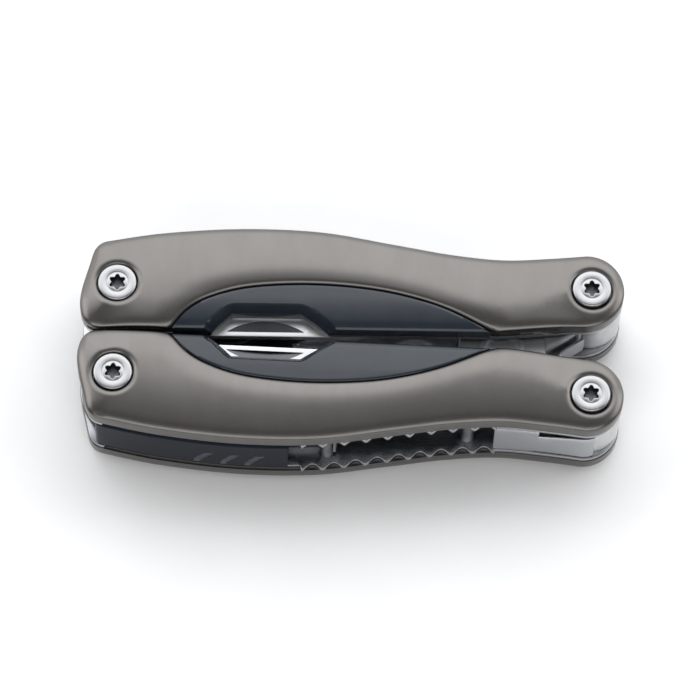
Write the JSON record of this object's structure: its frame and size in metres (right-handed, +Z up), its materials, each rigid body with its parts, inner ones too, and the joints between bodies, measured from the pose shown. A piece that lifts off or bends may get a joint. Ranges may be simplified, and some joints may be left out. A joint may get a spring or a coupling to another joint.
{
  "type": "multi tool",
  "caption": "Folded needle-nose plier multi tool: curved satin grey handles with dark lens inlays, exposed screws, back locks and fold-out blades, drivers, saw and openers.",
  "frame": {"origin": "middle of the underside, on the plane the folded tool rests on", "axes": "+X along the handles from the tool ends to the plier pivots, +Y from the front handle to the back handle, +Z up through the thickness"},
  "size_m": [0.1043, 0.044, 0.022],
  "materials": {
    "handle_scale": "satin grey anodised, fine bead-blasted grain",
    "inlay": "satin navy-black plastic",
    "lock_lever": "glossy black",
    "liner_steel": "polished stainless sheet",
    "tool_steel": "mirror polished stainless",
    "plier_steel": "satin tumbled stainless",
    "fastener": "satin bright stainless",
    "spring_steel": "satin spring steel"
  },
  "bodies": {
    "front_plier": {"front_plier_half": "plier_steel", "plier_pivot_bolt": "plier_steel", "plier_pivot_nut": "plier_steel", "plier_spring": "spring_steel"},
    "back_plier": {"back_plier_half": "plier_steel"},
    "front_handle": {"front_top_scale": "handle_scale", "front_bottom_scale": "handle_scale", "front_top_inlay": "inlay", "front_bottom_inlay": "inlay", "front_top_liner": "liner_steel", "front_bottom_liner": "liner_steel", "front_lock_lever_pin": "fastener", "front_lock_spring": "spring_steel", "front_stop_plate": "liner_steel", "front_standoff_1": "fastener", "front_standoff_2": "fastener", "front_plier_axle": "fastener", "front_plier_top_screw": "fastener", "front_plier_bottom_screw": "fastener", "front_tool_axle": "fastener", "front_tool_top_screw": "fastener", "front_tool_bottom_screw": "fastener", "front_washer_1": "fastener", "front_washer_2": "fastener"},
    "back_handle": {"back_top_scale": "handle_scale", "back_bottom_scale": "handle_scale", "back_top_inlay": "inlay", "back_bottom_inlay": "inlay", "back_top_liner": "liner_steel", "back_bottom_liner": "liner_steel", "back_lock_lever_pin": "fastener", "back_lock_spring": "spring_steel", "back_stop_plate": "liner_steel", "back_standoff_1": "fastener", "back_standoff_2": "fastener", "back_plier_axle": "fastener", "back_plier_top_screw": "fastener", "back_plier_bottom_screw": "fastener", "back_tool_axle": "fastener", "back_tool_top_screw": "fastener", "back_tool_bottom_screw": "fastener", "back_washer_1": "fastener", "back_washer_2": "fastener", "back_washer_3": "fastener"},
    "front_lever": {"front_lock_lever": "lock_lever"},
    "back_lever": {"back_lock_lever": "lock_lever"},
    "wood_saw": {"wood_saw": "tool_steel"},
    "phillips_driver": {"phillips_driver": "tool_steel"},
    "knife_blade": {"knife_blade": "tool_steel"},
    "serrated_blade": {"serrated_blade": "tool_steel"},
    "can_opener": {"can_opener": "tool_steel"},
    "bottle_opener": {"bottle_opener": "tool_steel"},
    "file_blade": {"file_blade": "tool_steel"}
  },
  "joints": [
    {"name": "front_handle_unfold", "type": "hinge", "parent": "front_plier", "child": "front_handle", "pos_m": [0.04571, -0.01085, 0.011], "axis": [0, 0, 1], "range_deg": [0, 180]},
    {"name": "plier_open", "type": "hinge", "parent": "front_plier", "child": "back_plier", "pos_m": [0.02881, 0, 0.011], "axis": [0, 0, 1], "range_deg": [0, 30], "deforming": ["plier_spring"]},
    {"name": "back_handle_unfold", "type": "hinge", "parent": "back_plier", "child": "back_handle", "pos_m": [0.04571, 0.01085, 0.011], "axis": [0, 0, -1], "range_deg": [0, 180]},
    {"name": "wood_saw_open", "type": "hinge", "parent": "front_handle", "child": "wood_saw", "pos_m": [-0.04528, -0.00925, 0.011], "axis": [0, 0, 1], "range_deg": [0, 180]},
    {"name": "phillips_driver_open", "type": "hinge", "parent": "front_handle", "child": "phillips_driver", "pos_m": [-0.04528, -0.00925, 0.011], "axis": [0, 0, 1], "range_deg": [0, 180]},
    {"name": "knife_blade_open", "type": "hinge", "parent": "front_handle", "child": "knife_blade", "pos_m": [-0.04528, -0.00925, 0.011], "axis": [0, 0, 1], "range_deg": [0, 180]},
    {"name": "serrated_blade_open", "type": "hinge", "parent": "back_handle", "child": "serrated_blade", "pos_m": [-0.04528, 0.00925, 0.011], "axis": [0, 0, -1], "range_deg": [0, 180]},
    {"name": "can_opener_open", "type": "hinge", "parent": "back_handle", "child": "can_opener", "pos_m": [-0.04528, 0.00925, 0.011], "axis": [0, 0, -1], "range_deg": [0, 180]},
    {"name": "bottle_opener_open", "type": "hinge", "parent": "back_handle", "child": "bottle_opener", "pos_m": [-0.04528, 0.00925, 0.011], "axis": [0, 0, -1], "range_deg": [0, 180]},
    {"name": "file_blade_open", "type": "hinge", "parent": "back_handle", "child": "file_blade", "pos_m": [-0.04528, 0.00925, 0.011], "axis": [0, 0, -1], "range_deg": [0, 180]},
    {"name": "front_lock_lever_press", "type": "hinge", "parent": "front_handle", "child": "front_lever", "pos_m": [-0.03042, -0.01741, 0.011], "axis": [0, 0, 1], "range_deg": [0, 4], "stiffness_Nm_per_rad": 0.5, "deforming": ["front_lock_spring"]},
    {"name": "back_lock_lever_press", "type": "hinge", "parent": "back_handle", "child": "back_lever", "pos_m": [-0.03042, 0.01741, 0.011], "axis": [0, 0, -1], "range_deg": [0, 4], "stiffness_Nm_per_rad": 0.5, "deforming": ["back_lock_spring"]}
  ],
  "couplings": [
    {"joint": "back_handle_unfold", "follows": "front_handle_unfold", "ratio": 1},
    {"joint": "plier_open", "follows": "front_handle_unfold", "ratio": 0.16},
    {"joint": "wood_saw_open", "follows": "front_handle_unfold", "ratio": 1},
    {"joint": "phillips_driver_open", "follows": "front_handle_unfold", "ratio": 1},
    {"joint": "knife_blade_open", "follows": "front_handle_unfold", "ratio": 1},
    {"joint": "serrated_blade_open", "follows": "front_handle_unfold", "ratio": 1},
    {"joint": "can_opener_open", "follows": "front_handle_unfold", "ratio": 1},
    {"joint": "bottle_opener_open", "follows": "front_handle_unfold", "ratio": 1},
    {"joint": "file_blade_open", "follows": "front_handle_unfold", "ratio": 1}
  ]
}
